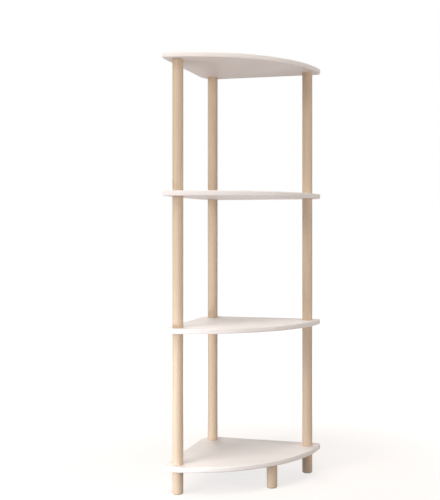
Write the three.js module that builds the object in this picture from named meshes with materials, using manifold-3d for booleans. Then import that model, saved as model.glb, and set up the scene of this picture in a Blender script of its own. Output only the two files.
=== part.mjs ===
// Corner plant stand: four quarter-round shelves clamped between lengths of round wooden post.
//
// The stand fits in the corner of a room. Its straight sides lie along the walls at -X and +Y, and its round
// front faces the room. Z is up, and the origin is on the floor, under the middle of the shelves' square.
//
// Three posts run from the floor to the top shelf. Each is a stack of turned lengths: a foot under the bottom
// shelf, and one upright between every two shelves. A threaded stud goes through each shelf and screws into an
// insert in the post above and in the post below, so that tightening the posts clamps the shelf between them.
// The top shelf, and the fourth foot under the round front, have a blind insert in the underside of the shelf,
// so nothing shows on top. All sizes are in millimetres.

import * as THREE from "three";
import { mergeVertices } from "three/addons/utils/BufferGeometryUtils.js";
import Module from "manifold-3d";

// ---- Driving dimensions ----

const shelfSide = 305; // each straight side, from the wall corner to the tip
const shelfThickness = 12;
const tipRadius = 12; // plan rounding of the two tips
const wallCornerRadius = 40; // plan rounding of the corner between the walls
const edgeRadius = 2.5; // rounding of the shelf's top and bottom edges

const postDiameter = 25;
const uprightLength = 299; // clear height between two shelves
const footLength = 55; // clear height under the bottom shelf
const endChamfer = 1; // on every end that meets a shelf
const footRounding = 3.5; // on the end that meets the floor

const postWallInset = 30; // post axis to the straight side beside it
const postTipInset = 28.5; // side post axis to the tip beyond it
const frontFootInset = 20; // front foot axis to the round edge
const frontFootAngle = THREE.MathUtils.degToRad(38); // at the wall corner, from the back side

const studDiameter = 6;
const studGrip = 14; // length of stud that screws into a post
const studChamfer = 0.8;
const insertWall = 1.8;
const insertLength = 13; // insert in the end of a post
const shelfSkin = 2.5; // wood left above a blind insert

const threadClearance = 0.15; // stud to insert, on the radius
const seatClearance = 0.15; // insert to its hole, on the radius
const shelfHoleClearance = 0.5; // stud to the hole through a shelf, on the radius
const endClearance = 0.5; // insert to the face that it is sunk below
const boreSpare = 3; // empty bore past the end of a stud
const drillOverrun = 1; // how far a drill starts outside the wood

// ---- Smoothness ----

const postSegments = 28;
const hardwareSegments = 12;
const holeSegments = 20;
const roundFrontSteps = 28;
const cornerSteps = 6;
const edgeSteps = 3;
const footRoundingSteps = 3;

// ---- Sizes that follow ----

const shelfNames = ["bottom", "lower", "upper", "top"];
const shelfPitch = shelfThickness + uprightLength;
const postRadius = postDiameter / 2;
const studRadius = studDiameter / 2;
const insertBoreRadius = studRadius + threadClearance;
const insertRadius = insertBoreRadius + insertWall;
const insertSeatRadius = insertRadius + seatClearance;
const shelfHoleRadius = studRadius + shelfHoleClearance;
const postBoreDepth = Math.max(studGrip, endClearance + insertLength) + boreSpare;
const pocketDepth = shelfThickness - shelfSkin;
const shelfInsertLength = pocketDepth - 2 * endClearance;
const throughStudLength = shelfThickness + 2 * studGrip;
const blindStudLength = studGrip + pocketDepth - endClearance;

// The round front is struck from the wall corner. Its radius is the one that puts each rounded tip at the
// full length of its straight side.
const tipCentre = shelfSide - tipRadius;
const frontRadius = Math.hypot(tipCentre, tipRadius) + tipRadius;
const tipAngle = Math.atan2(tipRadius, tipCentre);

// Post axes in plan, with the wall corner at the origin and the shelf at +X and -Y.
const sidePostReach = shelfSide - postTipInset;
const frontFootReach = frontRadius - frontFootInset;
const postAxes = {
  left: new THREE.Vector2(postWallInset, -sidePostReach),
  back: new THREE.Vector2(postWallInset, -postWallInset),
  right: new THREE.Vector2(sidePostReach, -postWallInset),
};
const frontFootAxis = new THREE.Vector2(
  frontFootReach * Math.cos(frontFootAngle),
  -frontFootReach * Math.sin(frontFootAngle),
);

// Height of the underside of a shelf, counted from the bottom one.
const shelfHeight = (level) => footLength + level * shelfPitch;
const topLevel = shelfNames.length - 1;

// ---- Materials ----

const whiteLacquer = new THREE.MeshStandardMaterial({ color: 0xf3eeea, roughness: 0.45, metalness: 0 });
const beech = new THREE.MeshStandardMaterial({ color: 0xd9b894, roughness: 0.55, metalness: 0 });
const zincSteel = new THREE.MeshStandardMaterial({ color: 0xb9bcc0, roughness: 0.35, metalness: 1 });

// ---- Solids from booleans ----

const wasm = await Module();
wasm.setup();

function toSolid(geometry) {
  const bare = geometry.clone();
  bare.deleteAttribute("normal");
  bare.deleteAttribute("uv");
  const merged = mergeVertices(bare, 1e-4);
  return new wasm.Manifold(
    new wasm.Mesh({
      numProp: 3,
      vertProperties: merged.attributes.position.array,
      triVerts: new Uint32Array(merged.index.array),
    }),
  );
}

function toGeometry(solid) {
  const mesh = solid.getMesh();
  const geometry = new THREE.BufferGeometry();
  geometry.setAttribute("position", new THREE.BufferAttribute(mesh.vertProperties, 3));
  geometry.setIndex(new THREE.BufferAttribute(mesh.triVerts, 1));
  geometry.computeVertexNormals();
  return geometry;
}

// ---- Shelves ----

// Points on an arc, both ends included.
function arcPoints(centreX, centreY, radius, from, to, steps) {
  return Array.from({ length: steps + 1 }, (_, i) => {
    const angle = from + ((to - from) * i) / steps;
    return new THREE.Vector2(centreX + radius * Math.cos(angle), centreY + radius * Math.sin(angle));
  });
}

// The plan of a shelf, anticlockwise: wall corner, left tip, round front, right tip.
function shelfOutline() {
  const quarter = Math.PI / 2;
  const front = arcPoints(0, 0, frontRadius, tipAngle - quarter, -tipAngle, roundFrontSteps);
  return new THREE.Shape([
    ...arcPoints(wallCornerRadius, -wallCornerRadius, wallCornerRadius, quarter, 2 * quarter, cornerSteps),
    ...arcPoints(tipRadius, -tipCentre, tipRadius, 2 * quarter, 3 * quarter + tipAngle, cornerSteps),
    ...front.slice(1, -1),
    ...arcPoints(tipCentre, -tipRadius, tipRadius, -tipAngle, quarter, cornerSteps),
  ]);
}

// A slab in the shelf's plan with rounded edges, its underside at z = 0. The rounding leaves a tenth of the
// thickness as a flat band, however thin the slab is.
function shelfBlank() {
  const rounding = Math.min(edgeRadius, 0.45 * shelfThickness);
  const geometry = new THREE.ExtrudeGeometry(shelfOutline(), {
    depth: shelfThickness - 2 * rounding,
    bevelThickness: rounding,
    bevelSize: rounding,
    bevelOffset: -rounding,
    bevelSegments: edgeSteps,
  });
  geometry.translate(0, 0, rounding);
  return toSolid(geometry);
}

// A round drill standing on a post axis, from z = low to z = high.
function drill(axis, radius, low, high) {
  const geometry = new THREE.CylinderGeometry(radius, radius, high - low, holeSegments);
  geometry.rotateX(Math.PI / 2);
  geometry.translate(axis.x, axis.y, (low + high) / 2);
  return toSolid(geometry);
}

const throughHole = (axis) => drill(axis, shelfHoleRadius, -drillOverrun, shelfThickness + drillOverrun);
const blindPocket = (axis) => drill(axis, insertSeatRadius, -drillOverrun, pocketDepth);

function makeShelf(level) {
  const isTop = level === topLevel;
  const drills = Object.values(postAxes).map(isTop ? blindPocket : throughHole);
  if (level === 0) drills.push(blindPocket(frontFootAxis));
  const drilled = drills.reduce((solid, hole) => solid.subtract(hole), shelfBlank());
  const mesh = new THREE.Mesh(toGeometry(drilled), whiteLacquer);
  mesh.name = `shelf_${shelfNames[level]}`;
  mesh.position.z = shelfHeight(level);
  return mesh;
}

// ---- Turned posts ----

// Turns a profile of [radius, height] points about the vertical axis.
function turned(profile, segments) {
  const geometry = new THREE.LatheGeometry(
    profile.map(([radius, height]) => new THREE.Vector2(radius, height)),
    segments,
  );
  geometry.rotateX(Math.PI / 2);
  return geometry;
}

// The top end of a post: a chamfered rim round the bore for an insert.
const boredTopEnd = (length) => [
  [postRadius, length - endChamfer],
  [postRadius - endChamfer, length],
  [insertSeatRadius, length],
  [insertSeatRadius, length - postBoreDepth],
  [0, length - postBoreDepth],
];

function uprightGeometry() {
  const boredLowEnd = boredTopEnd(uprightLength)
    .map(([radius, height]) => [radius, uprightLength - height])
    .reverse();
  return turned([...boredLowEnd, ...boredTopEnd(uprightLength)], postSegments);
}

function footGeometry() {
  const roundedEnd = arcPoints(
    postRadius - footRounding,
    footRounding,
    footRounding,
    -Math.PI / 2,
    0,
    footRoundingSteps,
  ).map((point) => point.toArray());
  return turned([[0, 0], ...roundedEnd, ...boredTopEnd(footLength)], postSegments);
}

// ---- Studs and inserts ----

function studGeometry(length) {
  const profile = [
    [0, 0],
    [studRadius - studChamfer, 0],
    [studRadius, studChamfer],
    [studRadius, length - studChamfer],
    [studRadius - studChamfer, length],
    [0, length],
  ];
  return turned(profile, hardwareSegments);
}

function insertGeometry(length) {
  const profile = [
    [insertBoreRadius, 0],
    [insertRadius, 0],
    [insertRadius, length],
    [insertBoreRadius, length],
    [insertBoreRadius, 0],
  ];
  return turned(profile, hardwareSegments);
}

// ---- Assembly ----

const stand = new THREE.Group();
const frame = new THREE.Group(); // its origin is the wall corner, on the floor
frame.position.set(-shelfSide / 2, shelfSide / 2, 0);
stand.add(frame);

function place(name, geometry, material, axis, height) {
  const mesh = new THREE.Mesh(geometry, material);
  mesh.name = name;
  mesh.position.set(axis.x, axis.y, height);
  frame.add(mesh);
}

const upright = uprightGeometry();
const foot = footGeometry();
const throughStud = studGeometry(throughStudLength);
const blindStud = studGeometry(blindStudLength);
const postInsert = insertGeometry(insertLength);
const shelfInsert = insertGeometry(shelfInsertLength);

// A post length with an insert sunk in its top end.
function placeFoot(side, axis) {
  place(`foot_${side}`, foot, beech, axis, 0);
  place(`insert_foot_${side}`, postInsert, zincSteel, axis, footLength - endClearance - insertLength);
}

// An upright standing on a shelf, with an insert sunk in each end.
function placeUpright(side, axis, level) {
  const base = shelfHeight(level) + shelfThickness;
  const name = `upright_${side}_${level + 1}`;
  const top = base + uprightLength;
  place(name, upright, beech, axis, base);
  place(`insert_${name}_low`, postInsert, zincSteel, axis, base + endClearance);
  place(`insert_${name}_high`, postInsert, zincSteel, axis, top - endClearance - insertLength);
}

// A blind insert in the underside of a shelf, and the stud from it down into the post below.
function placeBlindJoint(side, axis, level) {
  const underside = shelfHeight(level);
  const shelf = shelfNames[level];
  place(`insert_shelf_${shelf}_${side}`, shelfInsert, zincSteel, axis, underside + endClearance);
  place(`stud_${shelf}_${side}`, blindStud, zincSteel, axis, underside - studGrip);
}

shelfNames.forEach((_, level) => frame.add(makeShelf(level)));

for (const [side, axis] of Object.entries(postAxes)) {
  placeFoot(side, axis);
  for (let level = 0; level < topLevel; level++) {
    placeUpright(side, axis, level);
    place(`stud_${shelfNames[level]}_${side}`, throughStud, zincSteel, axis, shelfHeight(level) - studGrip);
  }
  placeBlindJoint(side, axis, topLevel);
}

placeFoot("front", frontFootAxis);
placeBlindJoint("front", frontFootAxis, 0);

export default stand;
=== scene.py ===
"""Looks of a four-tier corner plant stand: white quarter-round shelves on lengths of round beech post.

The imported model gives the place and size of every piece. The shelves and the posts are rebuilt here with
finely rounded edges, and each carries coordinates of its own for the grain of its wood. The studs and inserts
inside the joints stay as packed. Lengths are in metres and angles in radians unless a name or comment says
otherwise.
"""

import math
import random

import bmesh
import bpy
from mathutils import Matrix, Vector


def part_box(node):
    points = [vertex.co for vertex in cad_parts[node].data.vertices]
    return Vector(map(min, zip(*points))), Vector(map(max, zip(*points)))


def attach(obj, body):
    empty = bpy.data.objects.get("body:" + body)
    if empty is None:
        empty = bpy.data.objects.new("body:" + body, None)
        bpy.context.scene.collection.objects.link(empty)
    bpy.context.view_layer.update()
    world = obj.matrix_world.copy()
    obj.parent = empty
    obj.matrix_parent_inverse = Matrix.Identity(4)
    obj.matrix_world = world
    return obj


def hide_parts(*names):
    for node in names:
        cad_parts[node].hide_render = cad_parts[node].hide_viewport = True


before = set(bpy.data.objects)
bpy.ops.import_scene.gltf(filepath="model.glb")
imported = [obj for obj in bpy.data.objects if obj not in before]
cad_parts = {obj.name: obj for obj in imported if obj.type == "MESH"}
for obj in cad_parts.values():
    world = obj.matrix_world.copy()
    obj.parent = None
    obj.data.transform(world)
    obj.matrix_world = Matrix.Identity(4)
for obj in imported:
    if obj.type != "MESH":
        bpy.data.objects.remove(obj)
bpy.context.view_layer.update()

# ---- Sizes of the finish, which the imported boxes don't give ----

MM = 0.001
TIP_RADIUS = 12 * MM  # plan rounding of a shelf's two tips
WALL_CORNER_RADIUS = 40 * MM  # plan rounding of the corner between the walls
EDGE_RADIUS = 2.5 * MM  # rounding of a shelf's top and bottom edges
END_RADIUS = 1.0 * MM  # rounding of the post ends that meet a shelf
FLOOR_END_RADIUS = 3.5 * MM  # rounding of the post ends that meet the floor
SEAT_CLEARANCE = 0.15 * MM  # insert to its hole, on the radius
STUD_CLEARANCE = 0.5 * MM  # stud to the hole through a shelf, on the radius
END_CLEARANCE = 0.5 * MM  # blind insert to the bottom of its pocket
STUD_REACH = 0.5 * MM  # how far a stud reaches past the insert in a post
BORE_SPARE = 3.0 * MM  # empty bore past the end of a stud
SUPPORT = 0.4 * MM  # width of the flat strip that keeps a face's shading flat up to its rounding

SHELVES = ("bottom", "lower", "upper", "top")
SIDES = ("left", "back", "right")
QUARTER = math.pi / 2
FULL_TURN = 4 * QUARTER

# Each shelf and post is cut from its own place in the timber, drawn at random from this seed.
SEED = 7
BOARD_SPREAD = 9  # how far out along each axis of the timber a shelf may be cut
PLANK_LENGTH = 20  # how far along its plank a post may be cut
PITH_DISTANCE = (30, 90)  # how far from the pith the plank for a post may be sawn, in millimetres

# ---- Small node helper ----


# Sockets that share a name are told apart by their index: here those for colours on a Mix node.
MIX_FACTOR, MIX_FIRST, MIX_SECOND = "0", "6", "7"
MIX_COLOUR_OUT = 2


class Nodes:
    """Makes and links the nodes of one material or world."""

    def __init__(self, owner):
        owner.use_nodes = True
        self.tree = owner.node_tree
        self.tree.nodes.clear()

    def add(self, kind, settings=None, **inputs):
        """A node with its settings, and with each named input set to a value or linked from a socket."""
        node = self.tree.nodes.new(kind)
        for name, value in (settings or {}).items():
            setattr(node, name, value)
        for name, value in inputs.items():
            self.feed(node, name.replace("_", " "), value)
        return node

    def feed(self, node, name, value):
        """Sets an input, named or given by its index as text, to a value, or links a socket to it."""
        socket = node.inputs[int(name)] if name.isdigit() else node.inputs[name]
        if isinstance(value, bpy.types.NodeSocket):
            self.tree.links.new(value, socket)
        else:
            socket.default_value = value

    def math(self, operation, first, second=0.0):
        node = self.add("ShaderNodeMath", {"operation": operation})
        self.feed(node, "0", first)
        self.feed(node, "1", second)
        return node.outputs[0]

    def stretched(self, vector, scale):
        """The vector with each axis scaled. A texture on it has about that many features to the metre."""
        node = self.add("ShaderNodeVectorMath", {"operation": "MULTIPLY"})
        self.feed(node, "0", vector)
        self.feed(node, "1", scale)
        return node.outputs[0]

    def noise(self, vector, detail, roughness=0.5):
        node = self.add("ShaderNodeTexNoise", Vector=vector, Scale=1.0, Detail=detail, Roughness=roughness)
        return node.outputs["Fac"]

    def ramp(self, value, *stops):
        """A colour ramp through (position, colour) stops."""
        node = self.add("ShaderNodeValToRGB", Fac=value)
        elements = node.color_ramp.elements
        while len(elements) < len(stops):
            elements.new(0.5)
        for element, (position, colour) in zip(elements, stops):
            element.position = position
            element.color = colour
        return node.outputs["Color"]

    def mix(self, kind, factor, first, second):
        """Two colours mixed with a blend type."""
        node = self.add("ShaderNodeMix", {"data_type": "RGBA", "blend_type": kind})
        self.feed(node, MIX_FACTOR, factor)
        self.feed(node, MIX_FIRST, first)
        self.feed(node, MIX_SECOND, second)
        return node.outputs[MIX_COLOUR_OUT]


def grey(value):
    return (value, value, value, 1.0)


def colour(red, green, blue):
    return (red, green, blue, 1.0)


# ---- Materials ----

RINGS_PER_METRE = 420.0
RING_WANDER = 2.4  # how far the year rings stray, in rings
PORE_RELIEF = 0.0002  # depth of the grain's relief, in metres
TURNING_RELIEF = 0.0001  # depth of the marks of turning on the metal


def beech_material():
    """Sanded beech under a clear matt lacquer. The grain runs along Z of the grain coordinates."""
    material = bpy.data.materials.new("beech")
    n = Nodes(material)
    place = n.add("ShaderNodeAttribute", {"attribute_name": "grain"}).outputs["Vector"]

    # Year rings round the pith, which lies on the Z axis of the grain coordinates.
    wander = n.noise(n.stretched(place, (30.0, 30.0, 4.0)), detail=3.0)
    flat = n.stretched(place, (1.0, 1.0, 0.0))
    length = n.add("ShaderNodeVectorMath", {"operation": "LENGTH"}, Vector=flat).outputs["Value"]
    stray = n.math("MULTIPLY", wander, RING_WANDER)
    rings = n.math("ADD", n.math("MULTIPLY", length, RINGS_PER_METRE), stray)
    year = n.math("FRACT", rings)
    late_wood = n.ramp(year, (0.0, grey(0.0)), (0.72, grey(0.25)), (0.95, grey(1.0)), (1.0, grey(0.1)))

    # Short dark flecks and fine pores, both drawn out along the grain.
    fleck_noise = n.noise(n.stretched(place, (1500.0, 1500.0, 260.0)), detail=1.0)
    flecks = n.ramp(fleck_noise, (0.60, grey(0.0)), (0.72, grey(1.0)))
    pores = n.noise(n.stretched(place, (3200.0, 3200.0, 160.0)), detail=2.0)
    streaks = n.noise(n.stretched(place, (260.0, 260.0, 6.0)), detail=4.0, roughness=0.6)
    tone = n.noise(n.stretched(place, (7.0, 7.0, 1.2)), detail=1.0)

    pale = colour(0.724, 0.559, 0.404)
    deep = colour(0.581, 0.402, 0.262)
    base = n.mix("MIX", n.math("MULTIPLY", late_wood, 0.32), pale, deep)
    base = n.mix("MIX", n.ramp(streaks, (0.35, grey(0.0)), (0.75, grey(0.42))), base, deep)
    base = n.mix("MULTIPLY", n.math("MULTIPLY", flecks, 0.30), base, colour(0.62, 0.45, 0.33))
    base = n.mix("MULTIPLY", 1.0, base, n.ramp(tone, (0.30, grey(0.93)), (0.70, grey(1.0))))

    relief = n.math("ADD", n.math("MULTIPLY", pores, 0.6), n.math("MULTIPLY", flecks, -0.4))
    bump = n.add("ShaderNodeBump", Strength=0.12, Distance=PORE_RELIEF, Height=relief)
    sheen = n.ramp(streaks, (0.3, grey(0.50)), (0.7, grey(0.60)))
    shader = n.add(
        "ShaderNodeBsdfPrincipled",
        Base_Color=base,
        Roughness=sheen,
        Normal=bump.outputs["Normal"],
    )
    n.add("ShaderNodeOutputMaterial", Surface=shader.outputs[0])
    return material


def board_material():
    """White satin lacquer over wood whose grain, along X of the grain coordinates, just shows."""
    material = bpy.data.materials.new("white_board")
    n = Nodes(material)
    place = n.add("ShaderNodeAttribute", {"attribute_name": "grain"}).outputs["Vector"]

    streaks = n.noise(n.stretched(place, (5.0, 190.0, 190.0)), detail=5.0, roughness=0.62)
    clouds = n.noise(n.stretched(place, (9.0, 14.0, 14.0)), detail=2.0)
    pores = n.noise(n.stretched(place, (60.0, 1400.0, 1400.0)), detail=2.0)
    lacquer = n.noise(n.stretched(place, (650.0, 650.0, 650.0)), detail=2.0)

    white = colour(0.910, 0.834, 0.788)
    warm = colour(0.830, 0.743, 0.680)
    base = n.mix("MIX", n.ramp(streaks, (0.42, grey(0.0)), (0.80, grey(0.38))), white, warm)
    base = n.mix("MIX", n.ramp(clouds, (0.40, grey(0.0)), (0.75, grey(0.18))), base, warm)

    relief = n.math("ADD", n.math("MULTIPLY", pores, 0.5), n.math("MULTIPLY", lacquer, 0.35))
    bump = n.add("ShaderNodeBump", Strength=0.08, Distance=PORE_RELIEF, Height=relief)
    sheen = n.ramp(clouds, (0.3, grey(0.46)), (0.7, grey(0.54)))
    shader = n.add(
        "ShaderNodeBsdfPrincipled",
        Base_Color=base,
        Roughness=sheen,
        Normal=bump.outputs["Normal"],
    )
    n.add("ShaderNodeOutputMaterial", Surface=shader.outputs[0])
    return material


def zinc_material():
    """Bright zinc plate on the studs and inserts, which is a little cloudy."""
    material = bpy.data.materials.new("zinc")
    n = Nodes(material)
    place = n.add("ShaderNodeTexCoord").outputs["Object"]
    clouds = n.noise(n.stretched(place, (900.0, 900.0, 900.0)), detail=3.0)
    turning = n.noise(n.stretched(place, (40.0, 40.0, 4000.0)), detail=1.0)
    bump = n.add("ShaderNodeBump", Strength=0.15, Distance=TURNING_RELIEF, Height=turning)
    shader = n.add(
        "ShaderNodeBsdfPrincipled",
        Base_Color=n.ramp(clouds, (0.3, colour(0.50, 0.52, 0.55)), (0.7, colour(0.66, 0.67, 0.68))),
        Metallic=1.0,
        Roughness=n.ramp(clouds, (0.3, grey(0.28)), (0.7, grey(0.42))),
        Normal=bump.outputs["Normal"],
    )
    n.add("ShaderNodeOutputMaterial", Surface=shader.outputs[0])
    return material


# ---- Mesh code ----


def arc(centre_x, centre_y, radius, start, end, steps):
    """Points on an arc, both ends included."""
    angles = [start + (end - start) * i / steps for i in range(steps + 1)]
    return [(centre_x + radius * math.cos(a), centre_y + radius * math.sin(a)) for a in angles]


def ring(mesh, points, height):
    """New mesh points at one height over (x, y) points."""
    return [mesh.verts.new((x, y, height)) for x, y in points]


def bridge(mesh, lower, upper):
    """Smooth quads between two rings with as many points."""
    count = len(lower)
    for i in range(count):
        j = (i + 1) % count
        face = mesh.faces.new((lower[i], lower[j], upper[j], upper[i]))
        face.smooth = True


def ring_edges(loop):
    """The edges round a ring whose points are already joined."""
    pairs = zip(loop, loop[1:] + loop[:1])
    return [a.link_edges[[e.other_vert(a) for e in a.link_edges].index(b)] for a, b in pairs]


def mark_sharp(*loops):
    """Keeps the shading from running smoothly over the edges round these rings."""
    for loop in loops:
        for edge in ring_edges(loop):
            edge.smooth = False


def finish_piece(mesh, name, spot, material, node):
    """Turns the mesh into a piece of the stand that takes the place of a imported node."""
    bmesh.ops.recalc_face_normals(mesh, faces=mesh.faces)
    data = bpy.data.meshes.new(name)
    mesh.to_mesh(data)
    mesh.free()
    data.materials.append(material)
    piece = bpy.data.objects.new(name, data)
    bpy.context.collection.objects.link(piece)
    piece.location = spot
    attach(piece, "root")
    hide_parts(node)
    return piece


def lay_grain(piece, matrix):
    """Gives each point of the piece its place in the timber that it was cut from."""
    attribute = piece.data.attributes.new("grain", "FLOAT_VECTOR", "POINT")
    for vertex, value in zip(piece.data.vertices, attribute.data):
        value.vector = matrix @ vertex.co


# ---- Shelves ----

# Steps round each curve of a shelf.
CORNER_STEPS = 12
TIP_STEPS = 14
FRONT_STEPS = 120
EDGE_STEPS = 6
HOLE_STEPS = 24


def shelf_outline(side, inset):
    """The plan of a shelf from its wall corner, anticlockwise, drawn in by the inset."""
    tip = side - TIP_RADIUS
    front_radius = math.hypot(tip, TIP_RADIUS) + TIP_RADIUS
    tip_angle = math.atan2(TIP_RADIUS, tip)
    wall = WALL_CORNER_RADIUS
    front = arc(0, 0, front_radius - inset, tip_angle - QUARTER, -tip_angle, FRONT_STEPS)
    return (
        arc(wall, -wall, wall - inset, QUARTER, 2 * QUARTER, CORNER_STEPS)
        + arc(TIP_RADIUS, -tip, TIP_RADIUS - inset, 2 * QUARTER, 3 * QUARTER + tip_angle, TIP_STEPS)
        + front[1:-1]
        + arc(tip, -TIP_RADIUS, TIP_RADIUS - inset, -tip_angle, QUARTER, TIP_STEPS)
    )


def edge_profile(thickness):
    """(inset, height) pairs from the underside's flat, round both edges, to the top's flat."""
    low = [(EDGE_RADIUS * (1 - c), EDGE_RADIUS * (1 + s)) for c, s in arc(0, 0, 1, -QUARTER, 0, EDGE_STEPS)]
    high = [(inset, thickness - height) for inset, height in reversed(low)]
    flat = EDGE_RADIUS + SUPPORT
    return [(flat, 0.0)] + low + high + [(flat, thickness)]


def circle(centre_x, centre_y, radius, steps):
    """Points round a circle, each once."""
    return arc(centre_x, centre_y, radius, 0, FULL_TURN, steps)[:-1]


def make_shelf(level, material, rng):
    """A quarter-round shelf with rounded edges, holes for through studs and pockets for blind inserts."""
    node = f"shelf_{SHELVES[level]}"
    low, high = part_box(node)
    wall_corner = Vector((low.x, high.y, low.z))
    side, thickness = high.x - low.x, high.z - low.z
    mesh = bmesh.new()
    rings = [ring(mesh, shelf_outline(side, inset), height) for inset, height in edge_profile(thickness)]
    for lower, upper in zip(rings, rings[1:]):
        bridge(mesh, lower, upper)

    under, over = [rings[0]], [rings[-1]]
    for name in drilled_nodes(level):
        hole_low, hole_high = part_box(name)
        centre = (hole_low + hole_high) / 2 - wall_corner
        radius = (hole_high.x - hole_low.x) / 2
        if name.startswith("stud"):
            points = circle(centre.x, centre.y, radius + STUD_CLEARANCE, HOLE_STEPS)
            mouth, exit_ring = ring(mesh, points, 0.0), ring(mesh, points, thickness)
            bridge(mesh, mouth, exit_ring)
            over.append(exit_ring)
            mark_sharp(mouth, exit_ring)
        else:
            points = circle(centre.x, centre.y, radius + SEAT_CLEARANCE, HOLE_STEPS)
            depth = hole_high.z - low.z + END_CLEARANCE
            mouth, floor = ring(mesh, points, 0.0), ring(mesh, points, depth)
            bridge(mesh, mouth, floor)
            mesh.faces.new(floor)
            mark_sharp(mouth, floor)
        under.append(mouth)
    for loops in (under, over):
        edges = [edge for loop in loops for edge in ring_edges(loop)]
        filled = bmesh.ops.triangle_fill(mesh, use_beauty=True, edges=edges)
        for face in filled["geom"]:
            if isinstance(face, bmesh.types.BMFace):
                face.smooth = True

    piece = finish_piece(mesh, f"board_{SHELVES[level]}", wall_corner, material, node)
    lay_grain(piece, Matrix.Translation([rng.uniform(0, BOARD_SPREAD) for _ in range(3)]))


def drilled_nodes(level):
    """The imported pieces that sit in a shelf's holes: studs in through holes, inserts in pockets."""
    if level == len(SHELVES) - 1:
        return [f"insert_shelf_top_{side}" for side in SIDES]
    names = [f"stud_{SHELVES[level]}_{side}" for side in SIDES]
    if level == 0:
        names.append("insert_shelf_bottom_front")
    return names


# ---- Posts ----

# Steps round a post, and round the edge of its ends.
POST_STEPS = 72
ROUNDING_STEPS = 5


def turned(profile):
    """A solid of revolution from (radius, height, sharp) points, closed by a flat face at both ends."""
    mesh = bmesh.new()
    rings = []
    for radius, height, _ in profile:
        rings.append(ring(mesh, circle(0, 0, radius, POST_STEPS), height))
    for lower, upper in zip(rings, rings[1:]):
        bridge(mesh, lower, upper)
    mesh.faces.new(rings[0])
    mesh.faces.new(rings[-1])
    mark_sharp(*[loop for loop, (_, _, sharp) in zip(rings, profile) if sharp])
    return mesh


def bored_end(radius, bore_radius, bore_depth):
    """(radius, depth, sharp) points of an end that meets a shelf, from the bore's bottom out to the side."""
    rounding = arc(radius - END_RADIUS, END_RADIUS, END_RADIUS, -QUARTER, 0, ROUNDING_STEPS)
    return [
        (bore_radius, bore_depth, True),
        (bore_radius, 0.0, True),
        (radius - END_RADIUS - SUPPORT, 0.0, False),
        *[(r, z, False) for r, z in rounding],
        (radius, END_RADIUS + SUPPORT, False),
    ]


def floor_end(radius):
    """The points of an end that stands on the floor, from near the axis out to the side."""
    rim = FLOOR_END_RADIUS
    rounding = arc(radius - rim, rim, rim, -QUARTER, 0, ROUNDING_STEPS)
    return [
        (radius / 4, 0.0, False),
        (radius - rim - SUPPORT, 0.0, False),
        *[(r, z, False) for r, z in rounding],
        (radius, rim + SUPPORT, False),
    ]


def make_post(node, name, material, rng, insert, stands_on_floor):
    """A length of post. Its bores are sized by the insert that is packed in its top end."""
    low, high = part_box(node)
    radius, length = (high.x - low.x) / 2, high.z - low.z
    insert_low, insert_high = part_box(insert)
    bore_radius = (insert_high.x - insert_low.x) / 2 + SEAT_CLEARANCE
    bore_depth = high.z - insert_low.z + STUD_REACH + BORE_SPARE
    bored = bored_end(radius, bore_radius, bore_depth)
    bottom = floor_end(radius) if stands_on_floor else bored
    top = [(r, length - depth, sharp) for r, depth, sharp in reversed(bored)]
    spot = Vector(((low.x + high.x) / 2, (low.y + high.y) / 2, low.z))
    piece = finish_piece(turned(bottom + top), name, spot, material, node)

    # The dowel is sawn from a plank at some distance from the pith.
    pith_distance = rng.uniform(*PITH_DISTANCE) * MM
    turn = Matrix.Rotation(rng.uniform(0, FULL_TURN), 4, "Z")
    plank = Matrix.Translation((pith_distance, 0, rng.uniform(0, PLANK_LENGTH)))
    lay_grain(piece, plank @ turn)


# ---- The stand ----


def make_stand():
    """Rebuilds the shelves and posts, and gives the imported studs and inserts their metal."""
    rng = random.Random(SEED)
    beech = beech_material()
    board = board_material()
    zinc = zinc_material()
    for level in range(len(SHELVES)):
        make_shelf(level, board, rng)
    for side in (*SIDES, "front"):
        make_post(f"foot_{side}", f"leg_{side}", beech, rng, f"insert_foot_{side}", True)
    for side in SIDES:
        for level in range(1, len(SHELVES)):
            node = f"upright_{side}_{level}"
            make_post(node, f"post_{side}_{level}", beech, rng, f"insert_{node}_high", False)
    for name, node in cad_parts.items():
        if name.startswith(("stud_", "insert_")):
            for material_slot in node.material_slots:
                material_slot.material = zinc


# ---- Stage ----

FLOOR_SIZE = 30.0
FLOOR_PAINT = colour(0.32, 0.265, 0.23)
SHOWN_WHITE = 1.0  # how the world and the far floor show to the camera
NEAR_LIFT = 0.75  # what the floor round the stand adds to its look, as a part of white
SHADOW_REACH = (0.35, 1.10)  # how far from the middle the floor starts to turn plain white, and ends
AMBIENT = 0.07  # what the world lights the stand with, as a part of white


def seen_rays(n):
    """One for rays from the camera or from a mirror or glass, and nought for rays that light a surface."""
    path = n.add("ShaderNodeLightPath")
    seen = n.math("MAXIMUM", path.outputs["Is Camera Ray"], path.outputs["Is Glossy Ray"])
    return n.math("MAXIMUM", seen, path.outputs["Is Transmission Ray"])


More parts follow.
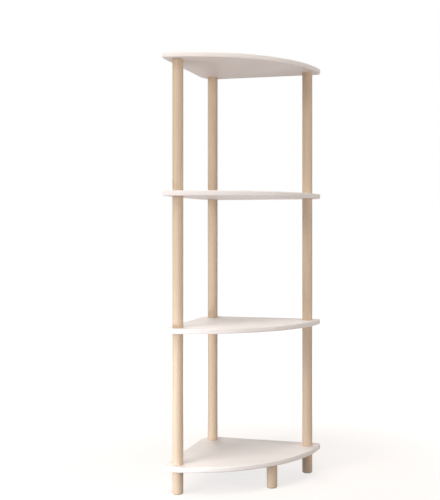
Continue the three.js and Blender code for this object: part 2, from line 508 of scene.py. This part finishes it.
def make_floor():
    """A pale floor that keeps the stand's shadow and shows as plain white further out."""
    half = FLOOR_SIZE / 2
    data = bpy.data.meshes.new("floor")
    corners = [(-half, -half, 0), (half, -half, 0), (half, half, 0), (-half, half, 0)]
    data.from_pydata(corners, [], [(0, 1, 2, 3)])
    floor = bpy.data.objects.new("floor", data)
    bpy.context.collection.objects.link(floor)
    material = bpy.data.materials.new("floor")
    n = Nodes(material)
    paint = n.add("ShaderNodeBsdfDiffuse", Color=FLOOR_PAINT)
    spot = n.stretched(n.add("ShaderNodeNewGeometry").outputs["Position"], (1.0, 1.0, 0.0))
    distance = n.add("ShaderNodeVectorMath", {"operation": "LENGTH"}, Vector=spot).outputs["Value"]
    reach = n.add(
        "ShaderNodeMapRange",
        {"interpolation_type": "SMOOTHSTEP"},
        Value=distance,
        From_Min=SHADOW_REACH[0],
        From_Max=SHADOW_REACH[1],
        To_Min=NEAR_LIFT,
        To_Max=SHOWN_WHITE,
    )
    glow = n.math("MULTIPLY", seen_rays(n), reach.outputs["Result"])
    lift = n.add("ShaderNodeEmission", Color=grey(1.0), Strength=glow)
    both = n.add("ShaderNodeAddShader")
    n.feed(both, "0", paint.outputs[0])
    n.feed(both, "1", lift.outputs[0])
    n.add("ShaderNodeOutputMaterial", Surface=both.outputs[0])
    data.materials.append(material)


def make_world():
    """A world that shows as plain white and lights the stand only a little."""
    world = bpy.data.worlds.new("studio")
    bpy.context.scene.world = world
    n = Nodes(world)
    seen = seen_rays(n)
    strength = n.math("ADD", n.math("MULTIPLY", seen, SHOWN_WHITE - AMBIENT), AMBIENT)
    background = n.add("ShaderNodeBackground", Color=grey(1.0), Strength=strength)
    n.add("ShaderNodeOutputWorld", Surface=background.outputs[0])


SOFTBOX = (1.6, 1.6)
STRIP = (0.6, 0.18)
PLAIN = (1, 1, 1)
COOL = (0.78, 0.88, 1.0)  # the lower left of the photograph is a little cooler than the rest
# Name, azimuth and elevation in degrees, distance, size, power in watts, the height that the lamp
# faces, and its tint. Azimuth 0 is in front, at -Y, and 90 is at +X.
LAMPS = (
    ("overhead", -5, 64, 3.0, SOFTBOX, 49, 0.5, PLAIN),
    ("front", -33, 18, 3.0, SOFTBOX, 41, 0.5, PLAIN),
    ("right", 80, 4, 3.0, SOFTBOX, 38, 0.5, PLAIN),
    ("low", -33, 0, 0.75, STRIP, 3.9, 0.10, COOL),
    ("back", 225, 38, 3.0, SOFTBOX, 30, 0.5, PLAIN),
)


def make_lamp(name, azimuth_deg, elevation_deg, distance, size, power, aim_height, tint):
    """A rectangular lamp that faces a point on the stand's axis and doesn't show to the camera."""
    azimuth, elevation = math.radians(azimuth_deg), math.radians(elevation_deg)
    away = Vector(
        (
            math.sin(azimuth) * math.cos(elevation),
            -math.cos(azimuth) * math.cos(elevation),
            math.sin(elevation),
        )
    )
    data = bpy.data.lights.new(name, "AREA")
    data.shape = "RECTANGLE"
    data.size, data.size_y = size
    data.energy = power
    data.color = tint
    lamp = bpy.data.objects.new(name, data)
    bpy.context.collection.objects.link(lamp)
    lamp.location = Vector((0, 0, aim_height)) + away * distance
    lamp.rotation_euler = away.to_track_quat("Z", "Y").to_euler()
    lamp.visible_camera = False


# ---- Camera ----

# The camera's place and focal length come from the outlines of the shelves and posts in the picture.
IMAGE_WIDTH_PX = 440
IMAGE_HEIGHT_PX = 500
FOCAL_LENGTH_PX = 880.3
AXIS_X_PX = 280.0  # where the camera's axis meets the picture
HORIZON_Y_PX = 230.0
CAMERA_SPOT = (0.5979, -2.0062, 0.5999)
CAMERA_YAW = 0.250  # how far the level camera is turned from +Y towards -X
SENSOR_MM = 36.0


def make_camera():
    """A level camera whose frame is shifted, so that the posts stay upright as in the photograph."""
    data = bpy.data.cameras.new("camera")
    data.sensor_width = SENSOR_MM
    data.lens = FOCAL_LENGTH_PX / IMAGE_HEIGHT_PX * SENSOR_MM
    data.shift_x = (IMAGE_WIDTH_PX / 2 - AXIS_X_PX) / IMAGE_HEIGHT_PX
    data.shift_y = (HORIZON_Y_PX - IMAGE_HEIGHT_PX / 2) / IMAGE_HEIGHT_PX
    camera = bpy.data.objects.new("camera", data)
    bpy.context.collection.objects.link(camera)
    camera.location = CAMERA_SPOT
    camera.rotation_euler = (QUARTER, 0, CAMERA_YAW)
    bpy.context.scene.camera = camera


make_stand()
make_floor()
make_world()
for lamp_row in LAMPS:
    make_lamp(*lamp_row)
make_camera()
bpy.context.scene.view_settings.view_transform = "Standard"
